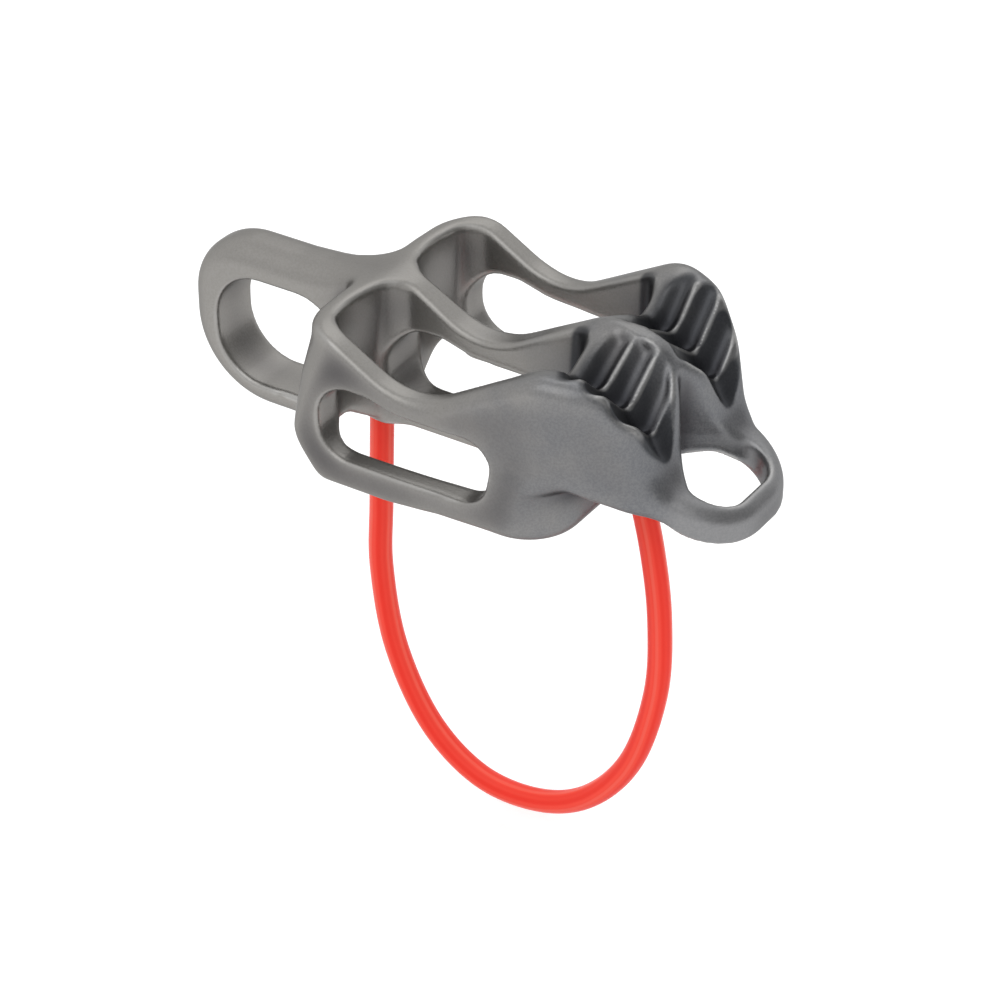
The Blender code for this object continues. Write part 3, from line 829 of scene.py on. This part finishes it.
def grooveShade(points, cells, outward, slots, grooves):
    # Painted shade on the grooves' own faces, darker away from the ridge of the web and its fork
    b, s = body, shading
    along = points[:, 0] - b["slotStart"] - b["slotLength"]
    level = points[:, 2] + b["noseDroop"] * (along - b["grooveLength"]) - b["noseTop"]
    slopes = np.gradient(grooves, b["cell"])
    facing = sum(sampled(part, cells) * way for part, way in zip(slopes, outward.T))
    near = np.exp(-(sampled(grooves, cells) / s["near"]) ** 2) * ramp(facing, *s["facing"])
    phase = (along - b["firstRib"]) / b["ribPitch"]
    climb = np.where(phase > 0, phase % 1.0 * (phase < s["ribs"]), s["treadFlat"])
    tread = 1 - s["tread"] * climb ** s["treadPower"]
    fork = np.maximum(along - s["forkStart"], 0)
    ridge = s["ridge"][0] + s["ridge"][1] * fork
    flank = np.maximum(s["flank"][0] - s["flank"][1] * fork, s["flankLeast"])
    aside = np.clip((np.abs(points[:, 1]) - ridge) / flank + s["least"], s["least"], 1)
    grooveShadeMask = ramp(along, *s["start"]) * ramp(level, *s["foot"]) * near * tread * aside
    # and painted shade in the corners where the slots end against them
    beside = np.exp(-(sampled(slots, cells) / s["near"]) ** 2)
    beside = beside * ramp(along, *s["slotCorner"]) * ramp(along, *s["slotCornerEnd"])
    return np.maximum(grooveShadeMask, beside * ramp(points[:, 2], *s["slotCornerUp"]))


def buildBody():
    # The forging's distance field on a grid, and the surface through it where it is zero
    b, cell = body, body["cell"]
    counts = [int((high - low) / cell) + 2 for low, high in zip(b["gridLow"], b["gridHigh"])]
    axes = [low + cell * np.arange(count) for low, count in zip(b["gridLow"], counts)]
    x, y, z = axes[0][:, None, None], axes[1][None, :, None], axes[2][None, None, :]
    forging, slots, hole = (field(x, y, z) for field in (forgingField, slotField, holeField))
    grooves = grooveField(hole, x, y, z)
    grid = softened(forgedField(forging, slots, grooves, hole, x, y, z), b["softness"])
    cells, quads = surfaceThrough(grid)
    slopes = np.gradient(grid, cell)
    cells, outward = settled(grid, slopes, cells, cell)
    points = np.array(b["gridLow"]) + cells * cell
    print("body surface", len(points), "points,", len(quads), "quads")
    bend = sum(np.gradient(part, cell, axis=axis) for axis, part in enumerate(slopes))
    edge = sampled(bend, cells)  # the sum of both curvatures, positive over an edge
    # how much metal lies round each place a little above its surface: it sets painted shade in hollows
    filled = averaged(averaged((grid < 0).astype(float), shading["reach"]), shading["reach"])
    hollowShade = sampled(filled, cells + outward * shading["height"] / cell)
    slots, grooves = (np.broadcast_to(field, grid.shape) for field in (slots, grooves))
    grooveShadeMask = grooveShade(points, cells, outward, slots, grooves)
    # the curvature lightens edges as wear and painted highlight; the other two set painted shade
    attributes = [("edge", edge), ("hollowShade", hollowShade), ("grooveShadeMask", grooveShadeMask)]
    return meshFromArrays("body_shell", points * mm, quads, attributes)


# Keeper loop: its sleeve


def buildSleeve():
    # A profile of rings, each (place on the line, step past it, radius), is carried along the
    # line: out over the rear rim, along the outside, round the front rim and back inside.
    line = loopLine()
    ways = np.gradient(line, axis=0)
    ways /= np.linalg.norm(ways, axis=1)[:, None]
    outer = loop["diameter"] / 2
    inner = outer - loop["wall"]
    rim = loop["rim"]
    arc = np.linspace(0, math.pi / 2, loop["rimRings"])
    last = len(line) - 1
    rearRim = np.stack([0 * arc, rim - rim * np.cos(arc), outer - rim + rim * np.sin(arc)], axis=1)
    frontRim = np.stack([0 * arc + last, -rearRim[:, 1], rearRim[:, 2]], axis=1)[::-1]
    middle = np.arange(1, last)
    outside = np.stack([middle, 0 * middle, 0 * middle + outer], axis=1)
    inside = np.stack([np.arange(last, -1, -1), np.zeros(last + 1), np.full(last + 1, inner)], axis=1)
    rings = np.vstack([rearRim, outside, frontRim, inside])
    at = rings[:, 0].astype(int)
    centres = line[at] + ways[at] * rings[:, 1:2]
    across = np.array([0.0, 1.0, 0.0])
    upright = np.cross(ways[at], across)
    angles = 2 * math.pi * np.arange(loop["sides"]) / loop["sides"]
    spokes = np.cos(angles)[None, :, None] * across + np.sin(angles)[None, :, None] * upright[:, None, :]
    points = centres[:, None, :] + rings[:, 2][:, None, None] * spokes
    index = np.arange(len(rings) * loop["sides"]).reshape(len(rings), loop["sides"])
    following = np.roll(index, -1, axis=0)
    quads = np.stack([index, np.roll(index, -1, axis=1), np.roll(following, -1, axis=1), following], axis=2)
    attributes = [
        (label, np.broadcast_to(values, index.shape).ravel())
        for label, values in (("across", np.cos(angles)), ("upright", np.sin(angles)))
    ]
    piece = meshFromArrays("loop_sleeve", points.reshape(-1, 3), quads.reshape(-1, 4), attributes)
    length = np.linalg.norm(np.diff(line, axis=0), axis=1).sum()
    print("keeper loop", round(length / mm, 1), "mm")
    return piece, line, length


# Finishes: a band is from where to where a colour comes in, and a share is how much of it

anodised = {
    "colour": (0.272, 0.262, 0.247, 1),
    # a cooler and darker grey: partly the metal's own tone, partly painted shade towards the release ring
    "coolAndPaintedShade": (0.152, 0.157, 0.168, 1),
    "coolShadeBand": (25 * mm, 62 * mm),  # along the body
    "coolShadeBlend": 30 * mm,
    # a lighter grey near the release ring's tip: painted light
    "tip": (0.24, 0.24, 0.244, 1),
    "tipBand": (56.0 * mm, 60.0 * mm),
    "tipShare": 0.8,
    # lighter grey: worn metal in the grain, and on the edges also a painted highlight
    "wornAndHighlight": (0.46, 0.455, 0.445, 1),
    "edgeBand": (1.0, 1.9),
    "edgeShare": 0.6,
    "grooveEdgeLoss": 0.3,  # what the edges in the grooves lose of it
    # painted shade where metal surrounds a place
    "deep": (0.052, 0.049, 0.054, 1),
    "deepBand": (0.06, 0.36),
    "hollowShadeShare": 0.9,
    # near black: painted shade in the grooves and in the slots' corners beside them
    "paintedGrooveShade": (0.024, 0.026, 0.031, 1),
    "grooveShadeBand": (0.0, 0.8),
    "grooveShadeShare": 0.8,
    "grain": 0.28 * mm,
    "grainDetail": (2.0, 0.6),
    "grainHeight": 0.018 * mm,
    "grainBand": (0.35, 0.65),
    "grainShare": 0.12,
    "blotch": 6.0 * mm,
    "blotchDetail": 3.0,
    "roughness": 0.33,
    "roughnessSpread": 0.2,
    "metal": 0.8,
    "tint": (0.45, 0.45, 0.45, 1),
}


def anodisedFinish():
    # Blasted and anodised: fine grain, a slow drift from warm to a cooler grey that is partly painted
    # shade, painted light on the release ring's tip, edges lighter from wear and from painted highlight,
    # and painted shade in hollows and along the grooves
    a = anodised
    finish = newFinish("blasted_anodised")
    place = finish.place()
    blotch = finish.noise(place, a["blotch"], a["blotchDetail"])
    grain = finish.noise(place, a["grain"], *a["grainDetail"])
    # where painted shade lies in the grooves
    grooveShadeMask = finish.attribute("grooveShadeMask")
    along = finish.node("ShaderNodeSeparateXYZ", {}, {"Vector": place})["X"]
    # drift along the body to the cooler grey, which is partly painted shade
    coolAndPaintedShade = (along + (blotch - 0.5) * a["coolShadeBlend"]).between(*a["coolShadeBand"])
    colour = finish.mix(coolAndPaintedShade, a["colour"], a["coolAndPaintedShade"])
    # painted light on the release ring's tip
    colour = finish.mix(along.between(*a["tipBand"]) * a["tipShare"], colour, a["tip"])
    colour = finish.mix(grain.between(*a["grainBand"]) * a["grainShare"], colour, a["wornAndHighlight"])
    # painted shade where metal surrounds a place
    hollowShade = finish.attribute("hollowShade").between(*a["deepBand"])
    colour = finish.mix(hollowShade * a["hollowShadeShare"], colour, a["deep"])
    # painted shade in the grooves
    colour = finish.mix(grooveShadeMask.between(*a["grooveShadeBand"]) * a["grooveShadeShare"], colour, a["paintedGrooveShade"])
    # edges lighter: worn metal and a painted highlight, with less of it in the grooves
    edge = finish.attribute("edge").between(*a["edgeBand"])
    colour = finish.mix(edge * (a["edgeShare"] - grooveShadeMask * a["grooveEdgeLoss"]), colour, a["wornAndHighlight"])
    finish.shape(
        Base_Color=colour,
        Metallic=a["metal"],
        Roughness=(grain - 0.5) * a["roughnessSpread"] + a["roughness"],
        Specular_Tint=a["tint"],
        Normal=finish.bump(grain, a["grainHeight"]),
    )
    return finish.owner


coat = {
    "colour": (1.0, 0.085, 0.055, 1),
    "deep": (0.92, 0.045, 0.028, 1),
    "deepBand": (-0.9, 0.9),
    "pale": (1.0, 0.16, 0.115, 1),
    "paleBand": (0.75, 1.0),
    "paleShare": 0.5,
    "stripes": 4.0,  # lengthwise lines round the sleeve, and finer ones between them
    "fineStripes": 11.0,
    "stripeShares": (0.6, 0.3),
    "stripeHeight": 0.012 * mm,
    "ripple": 14.0 * mm,  # how slowly the lines wander, and how far
    "wander": 0.8,
    "roughness": 0.3,
    "roughnessSpread": 0.1,
    "gloss": 0.12,
}


def coatFinish():
    # Drawn plastic over stranded wire: soft lengthwise lines, a little uneven along them. Each
    # line is a sine of the angle round the sleeve.
    finish = newFinish("red_coat")
    ripple = finish.noise(finish.place(), coat["ripple"])
    angle = finish.attribute("upright").maths("ARCTAN2", finish.attribute("across"))
    lines = (angle * coat["stripes"] + ripple * coat["wander"]).maths("SINE")
    fine = (angle * coat["fineStripes"] - ripple * coat["wander"]).maths("SINE")
    lineShare, fineShare = coat["stripeShares"]
    both = (lines * lineShare + fine * fineShare).between(*coat["deepBand"])
    colour = finish.mix(both, coat["deep"], coat["colour"])
    colour = finish.mix(lines.between(*coat["paleBand"]) * coat["paleShare"], colour, coat["pale"])
    finish.shape(
        Base_Color=colour,
        Roughness=(ripple - 0.5) * coat["roughnessSpread"] + coat["roughness"],
        Specular_IOR_Level=coat["gloss"],
        Normal=finish.bump((fine + lines) * 0.5, coat["stripeHeight"]),
    )
    return finish.owner


wireSteel = {
    "dark": (0.5, 0.5, 0.51, 1),
    "light": (0.62, 0.62, 0.64, 1),
    "grain": 0.2 * mm,
    "roughness": 0.35,
    "roughnessSpread": 0.2,
}


def steelFinish():
    # Drawn steel with a fine grain
    finish = newFinish("wire_steel")
    grain = finish.noise(finish.place(), wireSteel["grain"])
    finish.shape(
        Base_Color=finish.mix(grain, wireSteel["dark"], wireSteel["light"]),
        Metallic=1.0,
        Roughness=(grain - 0.5) * wireSteel["roughnessSpread"] + wireSteel["roughness"],
    )
    return finish.owner


# Studio

studio = {
    "floorHeight": -62.0 * mm,
    "floorSize": 3.0,
    "floor": (0.85, 0.85, 0.85, 1),
    "floorRoughness": 0.9,
    "glow": (0.4, 0.4, 0.4, 1),
    "world": 0.88,
    "cardWay": (0.93, 0.22, 0.3),  # towards a soft dark card that glossy metal shows
    "cardBand": (0.6, 0.9),  # its edge and its core, as cosines from its middle
    "cardDepth": 0.65,
    "lampTarget": (28 * mm, 0.0, 0.0),
    "lamps": [  # name, place, size, power
        ("key", (0.02, -0.52, 0.84), 0.8, 1.6),
        ("back", (-0.2, 0.6, 0.7), 0.6, 0.7),
    ],
}


def raysSeen(finish):
    # 1 for rays of the camera and through glass, and 1 for rays reflected by glossy metal
    paths = finish.node("ShaderNodeLightPath")
    return paths["Is Camera Ray"] + paths["Is Transmission Ray"], paths["Is Glossy Ray"]


def buildFloor():
    half = studio["floorSize"] / 2
    corners = np.array([(-half, -half), (half, -half), (half, half), (-half, half)])
    points = np.column_stack([corners, np.full(4, studio["floorHeight"])])
    floor = meshFromArrays("floor", points, np.array([[0, 1, 2, 3]]))
    finish = newFinish("floor_white")
    seen, glossy = raysSeen(finish)
    white = finish.mix((seen + glossy).between(0.0, 1.0), (0, 0, 0, 1), studio["glow"])
    finish.shape(
        Base_Color=studio["floor"],
        Roughness=studio["floorRoughness"],
        Emission_Color=white,
        Emission_Strength=1.0,
    )
    floor.data.materials.append(finish.owner)


def buildWorld():
    # White where it is seen, apart from the dark card in reflections, and a plain light where
    # it lights the object
    sky = Finish(bpy.data.worlds.new("studio"))
    seen, glossy = raysSeen(sky)
    way = sky.node("ShaderNodeTexCoord")["Generated"]
    inputs = {0: way, 1: studio["cardWay"]}
    towards = sky.node("ShaderNodeVectorMath", {"operation": "DOT_PRODUCT"}, inputs)["Value"]
    card = 1.0 - towards.between(*studio["cardBand"]) * studio["cardDepth"]
    lighting = (1.0 - (seen + glossy)) * studio["world"]
    sky.shape(Color=(1, 1, 1, 1), Strength=seen + glossy * card + lighting)
    bpy.context.scene.world = sky.owner


def lightLamps():
    for name, place, size, power in studio["lamps"]:
        lamp = bpy.data.lights.new(name, "AREA")
        lamp.shape = "SQUARE"
        lamp.size = size
        lamp.energy = power
        aimed(name, lamp, place, studio["lampTarget"])


placeCamera()
print("camera placed")

sleeve, loopPath, loopLength = buildSleeve()
sleeve.data.materials.append(coatFinish())
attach(sleeve, "keeper")
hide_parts("keeper_sleeve")

shell = buildBody()
shell.data.materials.append(anodisedFinish())
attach(shell, "body")
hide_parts("forged_body")

steel = steelFinish()
for name in ("keeper_core", "rear_wire_end", "front_wire_end"):
    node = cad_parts[name]
    node.data.materials.clear()
    node.data.materials.append(steel)
print("finishes on")

buildFloor()
buildWorld()
lightLamps()
bpy.context.scene.view_settings.view_transform = "Standard"
print("studio lit")
